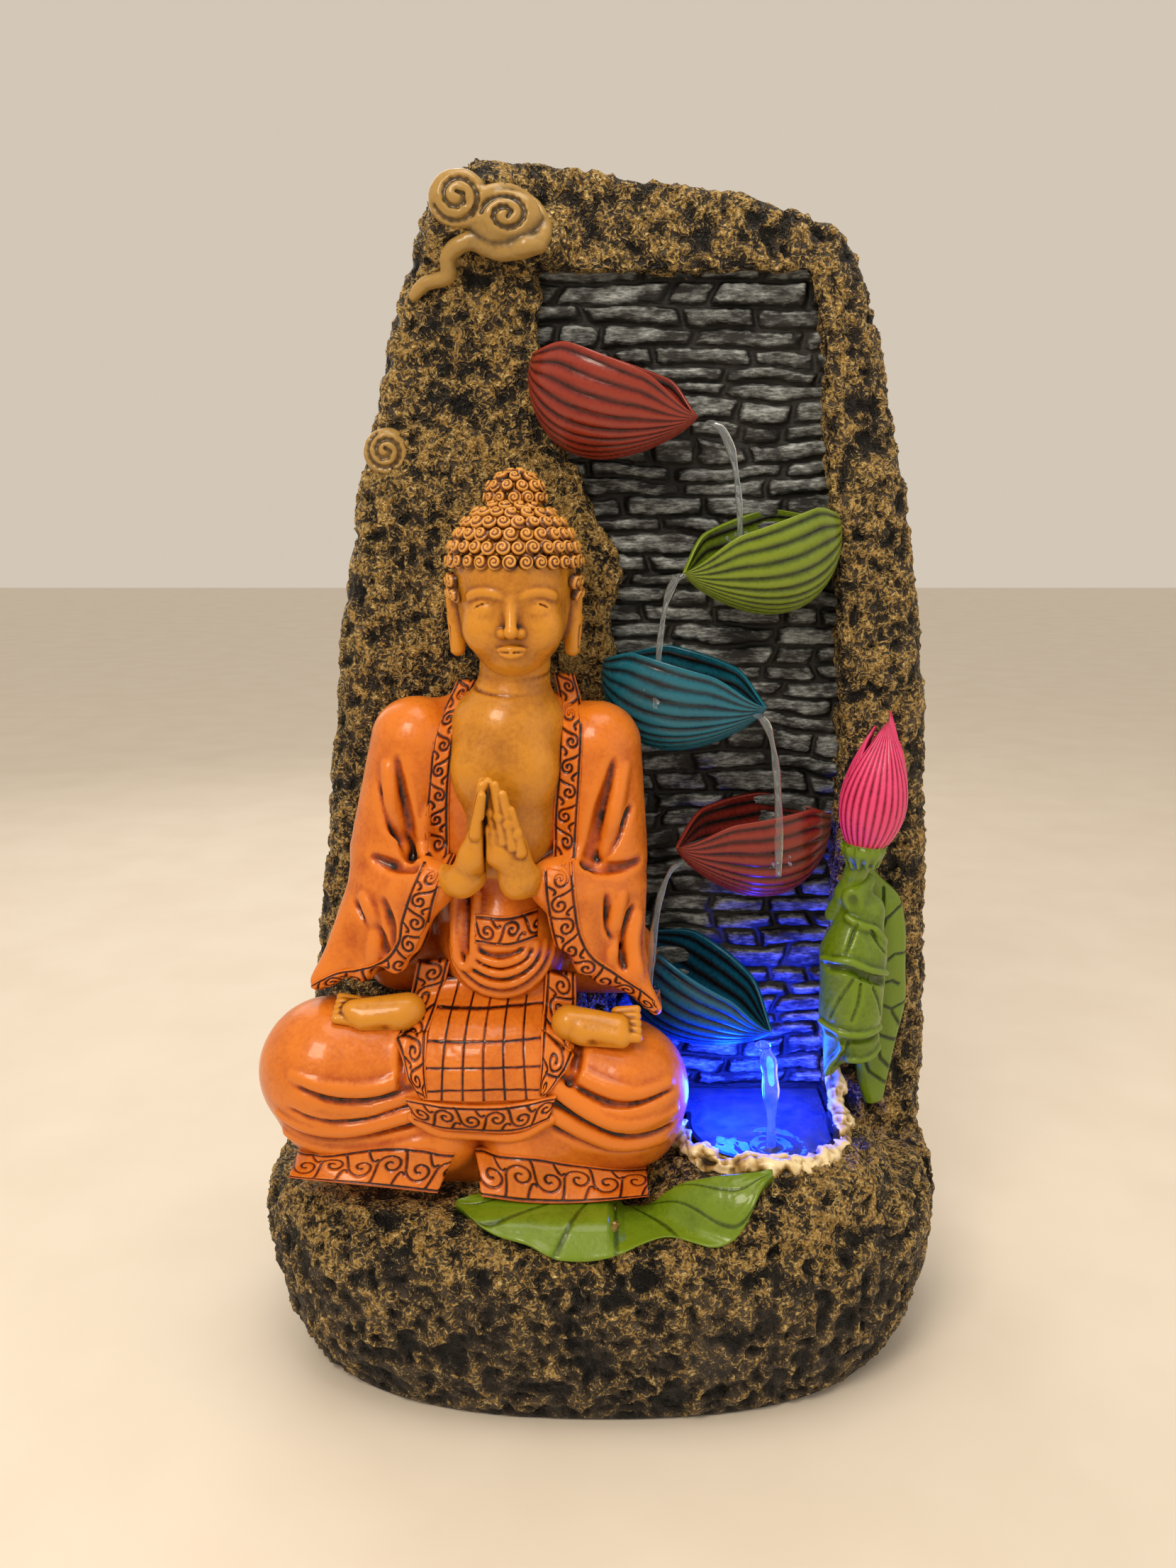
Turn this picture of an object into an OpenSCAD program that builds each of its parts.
// Tabletop water fountain: a hollow cast-resin rock with a recessed stone wall,
// five lotus-petal cups that spill into each other, a lit pool with a submersible
// pump behind it, and a seated figure on the deck. Millimetres, +Z up. The origin
// is the middle of the underside, +X is to the viewer's right, -Y is the front.

/* [Rock body] */
// Overall width of the rock
body_w = 430; // [400:1:520]
// Overall depth, from the front bulge to the back fittings
body_d = 240; // [225:1:300]
// Overall height, to the peak of the rock
body_h = 719; // [660:1:870]
// Height of the deck that the figure sits on
deck_z = 118; // [112:1:142]
// Thickness of the moulded rock walls
rock_wall = 6; // [4:0.5:8]
// Thickness of the plate that closes the underside
plate_t = 5; // [3:0.5:8]
// Gap for glue round a piece that is let into another
glue_gap = 0.3; // [0.2:0.05:0.5]

/* [Stone wall] */
// Width of the rock pillar beside the stone wall, at the deck
pillar_w = 72; // [60:1:86]
// Depth of the stone wall's face behind the middle plane
wall_face_y = 40; // [34:1:44]
// Thickness of the stone wall's backing
wall_t = 8; // [5:0.5:9]
// Height of the band of rock left above the stone wall
lintel_h = 64; // [50:1:90]
// Number of courses of thin stones
courses = 24; // [12:1:30]
// Width of the joint between stones
joint_w = 2; // [1:0.5:4]

/* [Cups] */
// Length of a cup, from its round end to its spout
cup_l = 108; // [90:1:130]
// Width of a cup across the rim
cup_w = 62; // [52:1:74]
// Depth of a cup below its rim
cup_depth = 44; // [34:1:53]
// Wall thickness of a cup
cup_wall = 3; // [2:0.25:4.5]

/* [Pool] */
// Radius of the round front of the pool
pool_r = 44; // [36:1:46]
// Wall thickness of the pool basin
basin_wall = 3; // [2:0.5:4]
// Height of the pool basin's floor
basin_floor_z = 30; // [24:1:36]
// Height that the basin stands above the deck
basin_lip_h = 28; // [22:1:34]
// Radius of the gnarled rim round the pool
rim_r = 10; // [7:0.5:11]

/* [Pump] */
// Length of the pump housing
pump_l = 52; // [44:1:60]
// Width of the pump housing
pump_w = 40; // [36:1:42]
// Height of the pump housing
pump_h = 44; // [38:1:54]
// Radius of the rotor magnet
rotor_r = 10; // [8:0.25:12]
// Radius of the ceramic shaft
shaft_r = 1.5; // [1.2:0.1:2.2]
// Radial running clearance of the rotor on its shaft
run_clear = 0.05; // [0.02:0.01:0.1]
// Gap between the rotor and its chamber
chamber_gap = 0.6; // [0.4:0.1:1]
// Radius of the pump outlet's bore
outlet_bore_r = 4; // [3:0.25:4.5]
// Outside radius of the riser hose
hose_r = 7; // [6:0.5:9]

/* [Back fittings] */
// Width of the service hatch
hatch_w = 104; // [90:1:118]
// Height of the service hatch
hatch_h = 94; // [80:1:112]
// Wall of the hatch frame
hatch_wall = 4; // [3:0.5:5]
// Sliding clearance round the back cover's lip
cover_clear = 0.3; // [0.2:0.05:0.6]
// Radius of the cord gland's bore
gland_bore_r = 3.3; // [2.5:0.1:4]
// Radius of the drain spout's bore
drain_bore_r = 5; // [4:0.25:6]

/* [Lamp] */
// Radius of the underwater lamp
lamp_r = 15; // [12:0.5:18]
// Height of the underwater lamp's housing
lamp_h = 12; // [9:0.5:16]

/* [Figure] */
// Width across the figure's knees
knee_w = 257; // [214:1:262]
// Height of the seated figure from the deck to its hair
figure_h = 427; // [360:1:430]
// Depth of the figure's crossed legs
leg_d = 90; // [76:1:90]

/* [Hidden] */
ring_n = 40;
half_w = body_w / 2;
half_d = body_d / 2;
rise = body_h - deck_z;
back_y = half_d - 12;

// Rock outline: share of the height above the deck against share of the half width
left_edge = [
    [0, -0.944], [0.19, -0.879], [0.39, -0.82], [0.55, -0.767], [0.7, -0.693], [0.8, -0.62],
    [0.88, -0.563], [0.94, -0.493], [0.975, -0.447], [1, -0.33]
];
right_edge = [
    [0, 0.991], [0.2, 0.986], [0.42, 0.95], [0.57, 0.907], [0.67, 0.86], [0.76, 0.81],
    [0.82, 0.77], [0.88, 0.72], [0.91, 0.685], [0.937, 0.63], [0.963, 0.39], [0.985, -0.05], [1, -0.29]
];
// Front and back faces of the rock above the deck
front_face = [[0, 6], [0.3, 12], [0.6, 16], [0.85, 24], [1, 34]];
back_drop = [[0, 0], [0.32, 0], [0.6, 8], [0.85, 24], [1, 44]];
slice_heights = [0, 0.12, 0.28, 0.42, 0.56, 0.68, 0.78, 0.86, 0.91, 0.94, 0.965, 0.985, 1];
corner_e = 4.5;

// Base outline by height: share of the deck height, half width, front and back depth
base_levels = [
    [0, 0.86, 0.90, 0.90], [0.08, 0.9, 0.94, 0.925], [0.25, 0.95, 0.985, 0.95],
    [0.5, 0.986, 1, 0.965], [0.72, 1, 1, 0.965], [0.9, 0.99, 0.93, 0.95], [1, 0.955, 0.82, 0.92]
];

// Stone wall outline: height above the deck share against the left side's place
wall_left_edge = [[0, 0.023], [0.55, 0.023], [0.63, 0.005], [0.705, -0.074], [0.83, -0.2], [1, -0.18]];
wall_right_inset = [[0, 1], [0.38, 0.82], [0.64, 0.71], [0.9, 0.43], [1, 0.4]];
wall_steps = [0, 0.2, 0.4, 0.55, 0.63, 0.705, 0.77, 0.83, 1];
wall_back_y = wall_face_y + wall_t;
wall_top_z = body_h - lintel_h;
recess_back_t = 4;

// Pool basin
basin_top_z = deck_z + basin_lip_h;
pool_x = half_w - 118;
pool_y = -28;
basin_left = pool_x - 67;
basin_right = pool_x + 47;
basin_back = back_y - 10;
basin_front = -12;
basin_in_z = basin_floor_z + basin_wall;
wall_bottom_z = basin_top_z + 1;
rim_mid_r = pool_r + basin_wall + glue_gap + rim_r;
flank_step = 1;

// Pump, standing in the basin behind the stone wall
pump_x = basin_right - 46;
pump_y = (wall_back_y + recess_back_t + basin_back) / 2;
foot_h = 6;
pump_z = basin_in_z + foot_h + pump_h / 2;
pump_front_x = pump_x - pump_l / 2;
volute_r = rotor_r + 5;
volute_l = 10;
rotor_l = 22;
cover_t = 3;
dial_t = 3;
end_play = 0.4;
outlet_r = outlet_bore_r + 2;
outlet_h = 14;
outlet_x = pump_front_x + volute_l / 2 + 1;
inlet_count = 6;
inlet_r = 2.4;
inlet_ring_r = volute_r * 0.62;

// Cups: round end's place from the pool's middle, rim height at the usual body height,
// spout's side, rim tilt, turn outward
cup_round_y = 27;
usual_deck_z = 118;
usual_rise = 601;
usual_cup_l = 108;
cup_back_share = 0.2;
cup_places = [
    [-140, 606, 1, 20, 22], [41, 514, -1, 17, 24], [-98, 429, 1, 13, 26],
    [43, 331, -1, 6, 24], [-80, 250, 1, 27, 26]
];
cup_colors = ["firebrick", "olivedrab", "teal", "brown", "steelblue"];
cup_arc = 12;
cup_sections = 10;

// Figure
figure_x = -half_w + 149;
knee_x = figure_x - 13;
leg_y = 3 - leg_d / 2;
seat_z = deck_z + glue_gap;
lap_z = seat_z + 0.23 * figure_h;
shoulder_z = seat_z + 0.675 * figure_h;
brow_z = seat_z + 0.875 * figure_h;
head_x = figure_x + 13;

// Back fittings
hatch_x = pool_x - 14;
hatch_z = basin_top_z + 54;
flange_t = 2;
cover_y = back_y + flange_t + 2 * glue_gap;
cover_plate_t = 3;
gland_x = -66;
gland_z = deck_z + 34;
gland_r = gland_bore_r + 3;
drain_x = pool_x - 36;
drain_z = basin_in_z + drain_bore_r + 6;
drain_wall = 3;
drain_end_y = half_d - 8;
spout_x = cup_at(0)[0] + 24;
spout_z = cup_at(0)[2] + 2;
spout_r = 5;
box_w = 46;
box_d = 30;
box_h = 28;
box_x = -50;
box_y = 76;
lamp_x = pool_x - 36;
lamp_y = 0;

// Hose and lead routes, in millimetres from the origin
hose_route = [
    [outlet_x, pump_y, pump_z + pump_h / 2 + outlet_h + glue_gap], [outlet_x, pump_y, 150],
    [70, 77, 190], [52, 78, 260], [30, 78, 340], [8, 76, 420], [-10, 73, 500],
    [spout_x, 70, 560], [spout_x, 68, spout_z - 22], [spout_x, 66, spout_z - 8],
    [spout_x, wall_back_y + recess_back_t + 12 + glue_gap, spout_z]
];
pump_lead_route = [
    [pump_x + pump_l / 2 + glue_gap, pump_y, pump_z], [basin_right - 8, pump_y + 2, pump_z + 8],
    [basin_right - 8, pump_y + 8, basin_top_z - 10], [basin_right - 14, pump_y + 10, basin_top_z + 8],
    [80, 94, basin_top_z + 12], [20, 92, basin_top_z + 4], [0, 86, gland_z],
    [box_x + box_w / 2 + glue_gap, box_y + 7, deck_z + 20]
];
lamp_lead_route = [
    [lamp_x - lamp_r - glue_gap, lamp_y, basin_in_z + 6], [lamp_x - 24, 12, basin_in_z + 4],
    [lamp_x - 24, 60, basin_in_z + 4], [basin_left + 8, 80, basin_in_z + 8],
    [basin_left + 8, 84, basin_top_z - 10], [basin_left + 4, 80, basin_top_z + 8],
    [basin_left - 12, 74, deck_z + 20], [box_x + box_w / 2 + glue_gap, box_y - 7, deck_z + 12]
];
lead_r = 2.2;

// ---- shape functions

// One closed ring, its front and back halves with their own depth and squareness
function ring(x, y, a, front, back, z, front_e = 2.4, back_e = 5) =
    [for (i = [0 : ring_n - 1])
        let (t = 360 * i / ring_n, c = cos(t), s = sin(t), e = s < 0 ? front_e : back_e)
        [x + a * sign(c) * pow(abs(c), 2 / e),
         y + (s < 0 ? front : back) * sign(s) * pow(abs(s), 2 / e), z]];

function middle(points) = [for (k = [0 : 2]) [for (p = points) p[k]] * [for (p = points) 1] / len(points)];

// Wall faces between rings of n points, as triangles
function wall_faces(count, n) =
    [for (k = [0 : count - 2], i = [0 : n - 1])
        let (a = k * n + i, b = k * n + (i + 1) % n, c = b + n, d = a + n)
        each [[a, d, c], [a, c, b]]];

// End faces for sections whose first half lies over their second half
function strip_faces(first, n, flip) =
    [for (i = [0 : n / 2 - 2])
        let (a = first + i, b = a + 1, c = first + n - 2 - i, d = c + 1)
        each flip ? [[a, c, b], [a, d, c]] : [[a, b, c], [a, c, d]]];

// Outline of the rock above the deck at share t of its height
function rock_left(t) = half_w * lookup(t, left_edge);
function rock_right(t) = half_w * lookup(t, right_edge);
function rock_front(t) = lookup(t, front_face);
function rock_back(t) = back_y - lookup(t, back_drop);
function rock_slice(t, inset, z) =
    let (l = rock_left(t) + inset, r = rock_right(t) - inset,
         f = rock_front(t) + inset, b = rock_back(t) - inset)
    ring((l + r) / 2, (f + b) / 2, (r - l) / 2, (b - f) / 2, (b - f) / 2, z, corner_e, corner_e);

function share(z) = (z - deck_z) / rise;
function wall_left(z) = half_w * lookup(share(z), wall_left_edge);
function wall_right(z) = rock_right(share(z)) - pillar_w * lookup(share(z), wall_right_inset);

// Outline of the stone wall in X and Z, grown by a margin
function wall_outline(grow, bottom) =
    let (heights = [for (t = wall_steps)
                        if (deck_z + t * rise > bottom + 1) min(deck_z + t * rise, wall_top_z)],
         levels = concat([bottom], heights))
    concat(
        [for (i = [len(levels) - 1 : -1 : 0])
            [wall_left(levels[i]) - grow, levels[i] + (i == len(levels) - 1 ? grow : 0)]],
        [for (i = [0 : len(levels) - 1])
            [wall_right(levels[i]) + grow, levels[i] + (i == len(levels) - 1 ? grow : 0)]]);

// Where a cup's round end sits; a longer cup grows mostly towards its tip
function cup_at(k) =
    let (place = cup_places[k])
    [pool_x + place[0] - place[2] * (cup_l - usual_cup_l) * cup_back_share, cup_round_y,
     deck_z + (place[1] - usual_deck_z) * rise / usual_rise];

// Half width and depth of a cup along its length, s from its round end to its spout
function cup_swell(s) = max(0.1, pow(sin(180 * pow(s, 0.78)), 0.72));
function cup_section(s, i) =
    let (w = cup_w / 2 * cup_swell(s), d = cup_depth * cup_swell(s),
         open = i < 2 ? 0.04 : 1, wi = max(w - cup_wall, w * 0.3), di = max(d - cup_wall, d * 0.3) * open)
    concat(
        [for (k = [0 : cup_arc]) let (a = 180 + 180 * k / cup_arc) [s * cup_l, w * cos(a), d * sin(a)]],
        [for (k = [cup_arc : -1 : 0])
            let (a = 180 + 180 * k / cup_arc) [s * cup_l, wi * cos(a), di * sin(a)]]);

// Leaf sheet: rows up the leaf, each with its front points and then its back points
function leaf_row(x, w, y, z, curl, t, n = 8) =
    concat(
        [for (k = [0 : n]) let (u = 2 * k / n - 1) [x + w * u, y - curl * u * u, z]],
        [for (k = [n : -1 : 0]) let (u = 2 * k / n - 1) [x + w * u, y + t - curl * u * u, z]]);

// ---- shape modules

// Solid through a stack of rings
module loft(rings) {
    n = len(rings[0]);
    count = len(rings);
    last = (count - 1) * n;
    polyhedron(
        points = concat([for (r = rings) each r], [middle(rings[0]), middle(rings[count - 1])]),
        faces = concat(
            wall_faces(count, n),
            [for (i = [0 : n - 1]) [count * n, i, (i + 1) % n]],
            [for (i = [0 : n - 1]) [count * n + 1, last + (i + 1) % n, last + i]]));
}

// Solid through thin curved sections
module skin(rings) {
    n = len(rings[0]);
    count = len(rings);
    polyhedron(
        points = [for (r = rings) each r],
        faces = concat(wall_faces(count, n), strip_faces(0, n, false),
                       strip_faces((count - 1) * n, n, true)));
}

// Round rod along a route
module rod(route, r, sides = 8) {
    count = len(route);
    rings = [for (k = [0 : count - 1])
        let (run = route[min(k + 1, count - 1)] - route[max(k - 1, 0)], d = run / norm(run),
             helper = abs(d[2]) > 0.8 ? [0, 1, 0] : [0, 0, 1],
             u = cross(helper, d) / norm(cross(helper, d)), v = cross(d, u))
        [for (i = [0 : sides - 1]) route[k] + r * (cos(360 * i / sides) * u + sin(360 * i / sides) * v)]];
    loft(rings);
}

module along_y(from, to, r, x = 0, z = 0, fn = 48) {
    translate([x, from, z])
        rotate([-90, 0, 0]) cylinder(h = to - from, r = r, $fn = fn);
}

module along_x(from, to, r, y = 0, z = 0, fn = 48) {
    translate([from, y, z])
        rotate([0, 90, 0]) cylinder(h = to - from, r = r, $fn = fn);
}

// Block between two corners
module block(low, high) {
    translate(low) cube(high - low);
}

// Prism of an X and Z outline, from one depth to another
module slab(outline, from, to) {
    translate([0, to, 0])
        rotate([90, 0, 0]) linear_extrude(height = to - from) polygon(outline);
}

// Space that the pool basin takes, grown by a margin
module basin_space(grow, floor_z, top_z) {
    translate([pool_x, pool_y, floor_z])
        cylinder(h = top_z - floor_z, r = pool_r + grow, $fn = 96);
    side = pool_r + grow - flank_step;
    block([pool_x - side, pool_y, floor_z], [pool_x + side, 0, top_z]);
    block([basin_left - grow, basin_front - grow, floor_z], [basin_right + grow, basin_back + grow, top_z]);
}

// ---- rock

module base_shell() {
    color("#4a3f33")
        difference() {
            loft([for (l = base_levels)
                ring(0, 0, half_w * l[1], half_d * l[2], half_d * l[3], deck_z * l[0])]);
            loft(concat(
                [ring(0, 0, half_w * base_levels[0][1] - rock_wall, half_d * base_levels[0][2] - rock_wall,
                      half_d * base_levels[0][3] - rock_wall, -1)],
                [for (l = base_levels)
                    ring(0, 0, half_w * l[1] - rock_wall, half_d * l[2] - rock_wall,
                         half_d * l[3] - rock_wall, l[0] * (deck_z - rock_wall) + 0.01)]));
            basin_space(basin_wall + glue_gap, basin_floor_z, deck_z + 1);
            along_y(basin_back, half_d + 1, drain_bore_r + drain_wall + 1, drain_x, drain_z);
        }
}

module base_plate() {
    inset = rock_wall + glue_gap;
    low = base_levels[0];
    color("#3a3632")
        linear_extrude(height = plate_t)
            polygon([for (p = ring(0, 0, half_w * low[1] - inset, half_d * low[2] - inset,
                                   half_d * low[3] - inset, 0)) [p[0], p[1]]]);
}

module rock_cavity() {
    loft([for (t = [for (s = slice_heights) if (s < 0.93) s])
        rock_slice(t, rock_wall, deck_z - 1 + t * (rise - rock_wall))]);
}

module backdrop_shell() {
    color("#54473a")
        difference() {
            loft([for (t = slice_heights) rock_slice(t, 0, deck_z + glue_gap + t * (rise - glue_gap))]);
            difference() {
                rock_cavity();
                slab(wall_outline(rock_wall, deck_z - 2), -half_d, wall_back_y + recess_back_t);
            }
            slab(wall_outline(glue_gap, deck_z - 3), -half_d, wall_back_y);
            block([basin_left - basin_wall - glue_gap, -half_d, deck_z - 1],
                  [basin_right + basin_wall + glue_gap, basin_back + basin_wall + glue_gap, basin_top_z + glue_gap]);
            block([hatch_x - hatch_w / 2 - glue_gap, back_y - 40, hatch_z - hatch_h / 2 - glue_gap],
                  [hatch_x + hatch_w / 2 + glue_gap, half_d, hatch_z + hatch_h / 2 + glue_gap]);
            along_y(back_y - 30, half_d, gland_r + glue_gap, gland_x, gland_z);
            along_y(wall_face_y, wall_back_y + 20, spout_r + glue_gap, spout_x, spout_z);
        }
}

// One course of thin stones standing out of the wall's backing
module stone_course(k) {
    pitch = (wall_top_z - wall_bottom_z) / courses;
    z = wall_bottom_z + k * pitch;
    left = max(wall_left(z), wall_left(z + pitch)) + 3;
    right = min(wall_right(z), wall_right(z + pitch)) - 3;
    count = max(2, round((right - left) / 36));
    cuts = rands(-6, 6, count + 1, k + 1);
    proud = rands(2, 6, count, k + 50);
    for (i = [0 : count - 1]) {
        from = left + (right - left) * i / count + (i == 0 ? 0 : cuts[i]);
        to = left + (right - left) * (i + 1) / count + (i == count - 1 ? 0 : cuts[i + 1]) - joint_w;
        block([from, wall_face_y - proud[i], z + joint_w], [to, wall_face_y + 1, z + pitch]);
    }
}

module stone_wall() {
    color("#3c4244")
        difference() {
            union() {
                slab(wall_outline(0, wall_bottom_z), wall_face_y, wall_back_y - glue_gap);
                for (k = [0 : courses - 1]) {
                    stone_course(k);
                }
            }
            along_y(0, wall_back_y + 1, spout_r + glue_gap, spout_x, spout_z);
        }
}

module pool_basin() {
    color("#1d2c4a")
        difference() {
            basin_space(basin_wall, basin_floor_z, basin_top_z);
            basin_space(0, basin_in_z, basin_top_z + 1);
            along_y(basin_back - 1, basin_back + basin_wall + 1, drain_bore_r + drain_wall + glue_gap,
                    drain_x, drain_z);
        }
}

module pool_rim() {
    color("#a08545")
        translate([pool_x, pool_y, deck_z + rim_r + glue_gap])
            rotate([0, 0, 160])
                rotate_extrude(angle = 218, $fn = 96)
                    translate([rim_mid_r, 0]) circle(r = rim_r, $fn = 32);
}

// ---- cups

module cup(k) {
    place = cup_places[k];
    color(cup_colors[k])
        translate(cup_at(k))
            mirror([place[2] < 0 ? 1 : 0, 0, 0])
                rotate([0, 0, -place[4]])
                    rotate([0, place[3], 0])
                        skin([for (i = [0 : cup_sections]) cup_section(i / cup_sections, i)]);
}
module cup_1() { cup(0); }
module cup_2() { cup(1); }
module cup_3() { cup(2); }
module cup_4() { cup(3); }
module cup_5() { cup(4); }

// ---- figure

// Solid through elliptical slices: each is height share, x, half width, front and back depth
module body_of(levels, x, y, low, high) {
    loft([for (l = levels)
        ring(x + l[1], y, l[2], l[3], l[4], low + l[0] * (high - low), 2.2, 2.6)]);
}

module figure_legs() {
    w = knee_w / 2;
    d = leg_d / 2;
    color("darkorange")
        body_of([
            [0, 0, w * 0.62, d * 0.45, d * 0.9], [0.24, 0, w * 0.74, d * 0.62, d * 0.95],
            [0.4, 0, w * 0.9, d * 0.86, d], [0.62, 0, w, d, d], [0.82, 0, w * 0.96, d * 0.98, d],
            [1, 0, w * 0.8, d * 0.8, d * 0.9]
        ], knee_x, leg_y, seat_z, lap_z);
}

module figure_hem() {
    w = knee_w / 2;
    front = leg_y - leg_d * 0.225 - glue_gap;
    color("chocolate")
        for (side = [-1, 1]) {
            x = knee_x + side * (w * 0.5 + 4);
            block([x - w * 0.36, front - 10, seat_z], [x + w * 0.36, front - 4.5, seat_z + 12]);
        }
}

module figure_robe() {
    color("orange")
        body_of([
            [0, 0, 100, 32, 24], [0.2, 0, 102, 34, 24], [0.45, 2, 92, 32, 25], [0.7, 3, 86, 29, 25],
            [0.86, 4, 76, 26, 24], [0.94, 5, 58, 23, 20], [1, 7, 34, 18, 16]
        ], figure_x, -20, lap_z + glue_gap, shoulder_z);
}

module figure_chest() {
    low = lap_z + (shoulder_z - lap_z) * 0.45;
    color("darkgoldenrod") {
        body_of([[0, 0, 28, 3, 1.5], [0.5, 0, 31, 4, 1.5], [1, 4, 30, 3, 1.5]],
                figure_x, -56, low, shoulder_z - 4);
        body_of([[0, 7, 26, 16, 14], [0.5, 10, 20, 15, 13], [1, 12, 21, 16, 14]],
                figure_x, -20, shoulder_z + glue_gap, shoulder_z + 22);
    }
}

module figure_head() {
    color("goldenrod")
        body_of([
            [0, 0, 20, 22, 16], [0.14, 0, 30, 32, 24], [0.4, 0, 37, 36, 32], [0.7, 0, 38, 36, 34],
            [1, 0, 36, 33, 34]
        ], head_x, -22, shoulder_z + 22 + glue_gap, brow_z);
}

module figure_hair() {
    top = seat_z + figure_h;
    color("peru")
        body_of([
            [0, 0, 43, 36, 33], [0.25, 0, 42, 36, 33], [0.5, 0, 33, 30, 28], [0.62, 0, 22, 20, 20],
            [0.85, 0, 17, 16, 16], [1, 0, 7, 7, 7]
        ], head_x, -20, brow_z + glue_gap, top);
}

module figure_hands() {
    low = lap_z + (shoulder_z - lap_z) * 0.47;
    color("goldenrod")
        body_of([[0, 0, 24, 12, 10], [0.3, 0, 17, 13, 10], [0.65, 0, 10, 10, 8], [1, 0, 4, 4, 4]],
                figure_x, -72, low, low + 68);
}

module figure_feet() {
    color("goldenrod")
        for (side = [-1, 1]) {
            body_of([[0, 0, 20, 10, 9], [0.6, 0, 19, 9, 8], [1, 0, 14, 6, 5]],
                    knee_x + side * 74, leg_y - 22, lap_z + glue_gap, lap_z + 18);
        }
}

module figure_apron() {
    w = 36;
    color("orangered")
        slab([[-w, lap_z + 14], [-w - 5, lap_z - 30], [-w * 0.7, lap_z - 58], [w * 0.7, lap_z - 58],
              [w + 5, lap_z - 30], [w, lap_z + 14]] + [for (k = [0 : 5]) [figure_x, 0]],
             leg_y - leg_d / 2 - 5 - glue_gap, leg_y - leg_d / 2 - glue_gap);
}

module figure_sash() {
    mid_z = lap_z + (shoulder_z - lap_z) * 0.32;
    color("chocolate")
        block([figure_x - 26, -62, mid_z - 12], [figure_x + 26, -55, mid_z + 12]);
}

module sleeve_cuffs() {
    top = lap_z + (shoulder_z - lap_z) * 0.56;
    color("chocolate")
        for (side = [-1, 1]) {
            skin([for (t = [0 : 0.25 : 1])
                leaf_row(figure_x + side * (34 + 52 * t * t), 7 + 7 * t, -66 + 4 * t,
                         lap_z + 8 + (top - lap_z - 8) * (1 - t), 0, 5, 4)]);
        }
}

// ---- ornaments

module lotus_bud() {
    color("deeppink")
        loft([for (l = [[0, 5], [0.12, 14], [0.3, 18.5], [0.5, 18], [0.72, 12], [0.9, 5], [1, 1.5]])
            ring(half_w - 60 + 12 * l[0], -14 + 4 * l[0], l[1], l[1], l[1],
                 deck_z + 198 + 86 * l[0], 2, 2)]);
}

module bud_stem() {
    color("darkolivegreen")
        loft([for (l = [[0, 3], [0.5, 3.4], [0.8, 5], [1, 9]])
            ring(half_w - 66 + 6 * l[0], -8 - 6 * l[0], l[1], l[1], l[1],
                 deck_z + 168 + 29.5 * l[0], 2, 2)]);
}

// Upright leaf on the pillar: widths by height share
module pillar_leaf(x, y, low, high, w, curl, t) {
    skin([for (s = [0 : 0.125 : 1])
        leaf_row(x, max(2, w * pow(sin(12 + 160 * s), 0.6)), y, high - s * (high - low), curl, t)]);
}

module curled_leaf() {
    color("yellowgreen")
        pillar_leaf(half_w - 58, -14, deck_z + 38, deck_z + 164, 26, -6, 4);
}

module back_leaf() {
    color("olivedrab")
        pillar_leaf(half_w - 40, -3, deck_z + 26, deck_z + 178, 22, -4, 3);
}

module lily_leaf() {
    color("olive")
        difference() {
            loft([for (l = [[0, 0.97], [0.5, 1], [1, 0.96]])
                ring(4, -86, 92 * l[1], 23 * l[1], 23 * l[1], deck_z + glue_gap + 3.2 * l[0], 2.2, 2.2)]);
            translate([pool_x, pool_y, 0])
                cylinder(h = body_h, r = rim_mid_r + rim_r + glue_gap, $fn = 96);
        }
}

// Flat scroll with a raised ring, facing the front
module scroll(x, z, r, y) {
    along_y(y, y + 8, r, x, z);
    along_y(y - 2, y, r * 0.55, x, z);
}

module cloud_top() {
    t = 0.95;
    y = rock_front(t) - 4;
    z = deck_z + t * rise;
    x = -83 * half_w / 215;
    color("#8d7a4c") {
        scroll(x, z, 16, y);
        scroll(x + 25, z - 9, 16, y - 1);
        scroll(x + 42, z - 18, 9, y);
        block([x - 21, y + 2, z - 40], [x - 9, y + 10, z - 6]);
    }
}

module cloud_side() {
    t = 0.722;
    color("#8d7a4c")
        scroll(rock_left(t) + 18, deck_z + t * rise, 13, rock_front(t) - 3);
}

// ---- pump

module pump_body() {
    color("#202225")
        difference() {
            union() {
                translate([pump_x, pump_y, pump_z])
                    cube([pump_l, pump_w, pump_h], center = true);
                translate([outlet_x, pump_y, pump_z + pump_h / 2 - 1])
                    cylinder(h = outlet_h + 1, r = outlet_r, $fn = 48);
            }
            along_x(pump_front_x - 1, pump_front_x + volute_l, volute_r, pump_y, pump_z);
            along_x(pump_front_x - 1, pump_front_x + volute_l + rotor_l + end_play,
                    rotor_r + chamber_gap, pump_y, pump_z);
            along_x(pump_front_x, pump_front_x + volute_l + rotor_l + 8, shaft_r, pump_y, pump_z, 32);
            translate([outlet_x, pump_y, pump_z])
                cylinder(h = pump_h, r = outlet_bore_r, $fn = 48);
        }
}

module pump_cover() {
    color("#2a2d31")
        difference() {
            union() {
                translate([pump_front_x - cover_t / 2, pump_y, pump_z])
                    cube([cover_t, pump_w, pump_h], center = true);
                along_x(pump_front_x - cover_t - dial_t - 1, pump_front_x - cover_t, 3.5, pump_y, pump_z);
            }
            along_x(pump_front_x - cover_t, pump_front_x + 1, shaft_r, pump_y, pump_z, 32);
            inlet_holes(pump_front_x - cover_t - 1, pump_front_x + 1);
        }
}

module inlet_holes(from, to) {
    for (i = [0 : inlet_count - 1]) {
        a = 360 * i / inlet_count;
        along_x(from, to, inlet_r, pump_y + inlet_ring_r * cos(a), pump_z + inlet_ring_r * sin(a), 32);
    }
}

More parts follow.
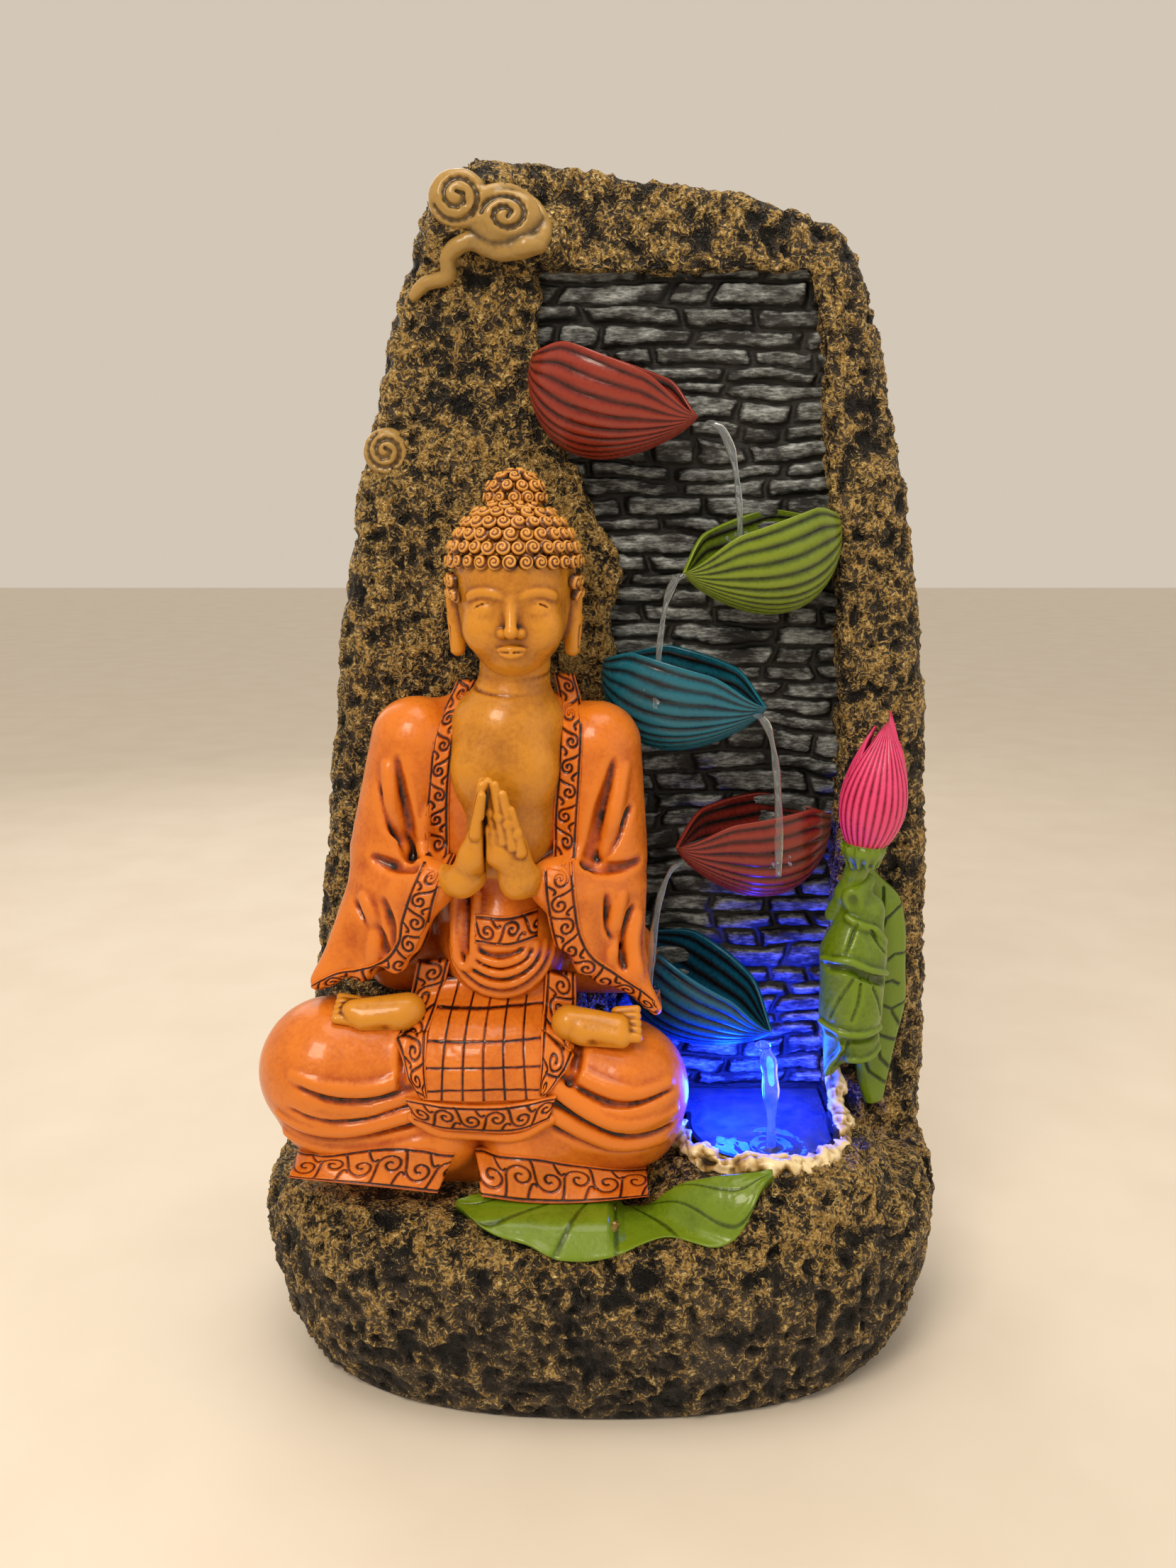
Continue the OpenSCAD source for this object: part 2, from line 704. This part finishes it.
module pump_shaft() {
    color("white")
        along_x(pump_front_x - cover_t, pump_front_x + volute_l + rotor_l + 8, shaft_r, pump_y, pump_z, 32);
}

module pump_rotor() {
    vane_l = volute_l - 4;
    color("dimgray")
        difference() {
            union() {
                along_x(pump_front_x + volute_l, pump_front_x + volute_l + rotor_l, rotor_r, pump_y, pump_z);
                along_x(pump_front_x + vane_l, pump_front_x + volute_l + 1, rotor_r * 0.8, pump_y, pump_z);
                for (i = [0 : 5]) {
                    translate([pump_front_x + 1, pump_y, pump_z])
                        rotate([60 * i, 0, 0])
                            translate([0, shaft_r + 1, -0.8]) cube([vane_l + 1, volute_r - shaft_r - 3, 1.6]);
                }
                along_x(pump_front_x + 1, pump_front_x + volute_l, 3.5, pump_y, pump_z);
            }
            along_x(pump_front_x, pump_front_x + volute_l + rotor_l + 1, shaft_r + run_clear,
                    pump_y, pump_z, 32);
        }
}

module flow_dial() {
    back_x = pump_front_x - cover_t - glue_gap;
    color("#c2452f")
        difference() {
            union() {
                along_x(back_x - dial_t, back_x, volute_r, pump_y, pump_z);
                block([back_x - dial_t, pump_y - 2, pump_z + volute_r - 2],
                      [back_x, pump_y + 2, pump_z + volute_r + 4]);
            }
            along_x(back_x - dial_t - 1, back_x + 1, 3.5 + run_clear, pump_y, pump_z);
            inlet_holes(back_x - dial_t - 1, back_x + 1);
        }
}

module pump_feet() {
    color("#35383c")
        for (sx = [-1, 1], sy = [-1, 1]) {
            translate([pump_x + sx * (pump_l / 2 - 9), pump_y + sy * (pump_w / 2 - 9), basin_in_z])
                rotate_extrude($fn = 32)
                    polygon([[0, 0], [7, 0], [6, 1.5], [3, 4], [3, foot_h], [0, foot_h]]);
        }
}

module riser_hose() {
    color("lightgray") rod(hose_route, hose_r);
}

module spout_nozzle() {
    color("gray")
        difference() {
            along_y(cup_round_y + 4, wall_back_y + recess_back_t + 12, spout_r, spout_x, spout_z);
            along_y(0, half_d, spout_r - 1.5, spout_x, spout_z);
        }
}

// ---- lamp

module lamp_housing() {
    color("#1b1d20")
        translate([lamp_x, lamp_y, basin_in_z])
            difference() {
                cylinder(h = lamp_h, r = lamp_r, $fn = 64);
                translate([0, 0, 3]) cylinder(h = lamp_h, r = lamp_r - 2.5, $fn = 64);
            }
}

module lamp_board() {
    color("seagreen")
        translate([lamp_x, lamp_y, basin_in_z + 3]) {
            cylinder(h = 1.6, r = lamp_r - 2.5 - glue_gap, $fn = 64);
            for (i = [0 : 5]) {
                rotate([0, 0, 60 * i]) translate([6, 0, 1.5]) cylinder(h = 2.4, r = 2, $fn = 24);
            }
        }
}

module lamp_lens() {
    r = lamp_r - 2.5 - glue_gap;
    color("lightskyblue")
        translate([lamp_x, lamp_y, basin_in_z + lamp_h - 4])
            rotate_extrude($fn = 64)
                polygon([[0, 0], [r, 0], [r, 4], [r * 0.7, 6], [r * 0.3, 7], [0, 7.3]]);
}

// ---- leads and back fittings

module junction_box() {
    color("#d9d9d2")
        translate([box_x, box_y, deck_z + glue_gap])
            difference() {
                translate([0, 0, box_h / 2]) cube([box_w, box_d, box_h], center = true);
                translate([0, 0, box_h / 2]) cube([box_w - 5, box_d - 5, box_h - 5], center = true);
            }
}

module pump_lead() {
    color("#151515") rod(pump_lead_route, lead_r);
}

module lamp_lead() {
    color("#151515") rod(lamp_lead_route, lead_r);
}

module cord_gland() {
    color("#101112")
        difference() {
            union() {
                along_y(back_y - rock_wall - 8, half_d - 2, gland_r, gland_x, gland_z);
                along_y(back_y + glue_gap, back_y + 5, gland_r + 3.5, gland_x, gland_z, 6);
            }
            along_y(0, half_d + 1, gland_bore_r, gland_x, gland_z);
        }
}

module gland_nut() {
    color("#1a1b1d")
        difference() {
            along_y(back_y - rock_wall - 5 - glue_gap, back_y - rock_wall - glue_gap, gland_r + 3.5,
                    gland_x, gland_z, 6);
            along_y(0, half_d, gland_r + run_clear, gland_x, gland_z);
        }
}

// Rectangular plug shape centred on the hatch
module hatch_block(inset, from, to) {
    block([hatch_x - hatch_w / 2 + inset, from, hatch_z - hatch_h / 2 + inset],
          [hatch_x + hatch_w / 2 - inset, to, hatch_z + hatch_h / 2 - inset]);
}

module hatch_frame() {
    color("#2c2c2c")
        difference() {
            union() {
                hatch_block(0, back_y - 10, back_y + glue_gap + 1);
                hatch_block(-4, back_y + glue_gap, back_y + glue_gap + flange_t);
            }
            hatch_block(hatch_wall, back_y - 11, half_d);
        }
}

module back_cover() {
    lip = hatch_wall + cover_clear;
    color("#3f3a34")
        difference() {
            union() {
                hatch_block(-4, cover_y, cover_y + cover_plate_t);
                hatch_block(lip, cover_y - 8, cover_y + 1);
                along_y(cover_y, half_d, 11, hatch_x, hatch_z);
            }
            hatch_block(lip + 2.5, cover_y - 9, cover_y);
        }
}

module drain_spout() {
    color("#4a4d52")
        difference() {
            along_y(basin_back - 1, drain_end_y, drain_bore_r + drain_wall, drain_x, drain_z);
            along_y(0, half_d, drain_bore_r, drain_x, drain_z);
        }
}

module drain_plug() {
    color("#1c1c1e") {
        along_y(basin_back + 2, drain_end_y + 1, drain_bore_r - run_clear, drain_x, drain_z);
        along_y(drain_end_y + glue_gap, half_d - 3, drain_bore_r + drain_wall, drain_x, drain_z);
    }
}

base_shell();
base_plate();
backdrop_shell();
stone_wall();
pool_basin();
pool_rim();
cup_1();
cup_2();
cup_3();
cup_4();
cup_5();
figure_legs();
figure_hem();
figure_robe();
figure_chest();
figure_head();
figure_hair();
figure_hands();
figure_feet();
figure_apron();
figure_sash();
sleeve_cuffs();
lotus_bud();
bud_stem();
curled_leaf();
back_leaf();
lily_leaf();
cloud_top();
cloud_side();
pump_body();
pump_cover();
pump_shaft();
pump_rotor();
flow_dial();
pump_feet();
riser_hose();
spout_nozzle();
lamp_housing();
lamp_board();
lamp_lens();
junction_box();
pump_lead();
lamp_lead();
cord_gland();
gland_nut();
hatch_frame();
back_cover();
drain_spout();
drain_plug();
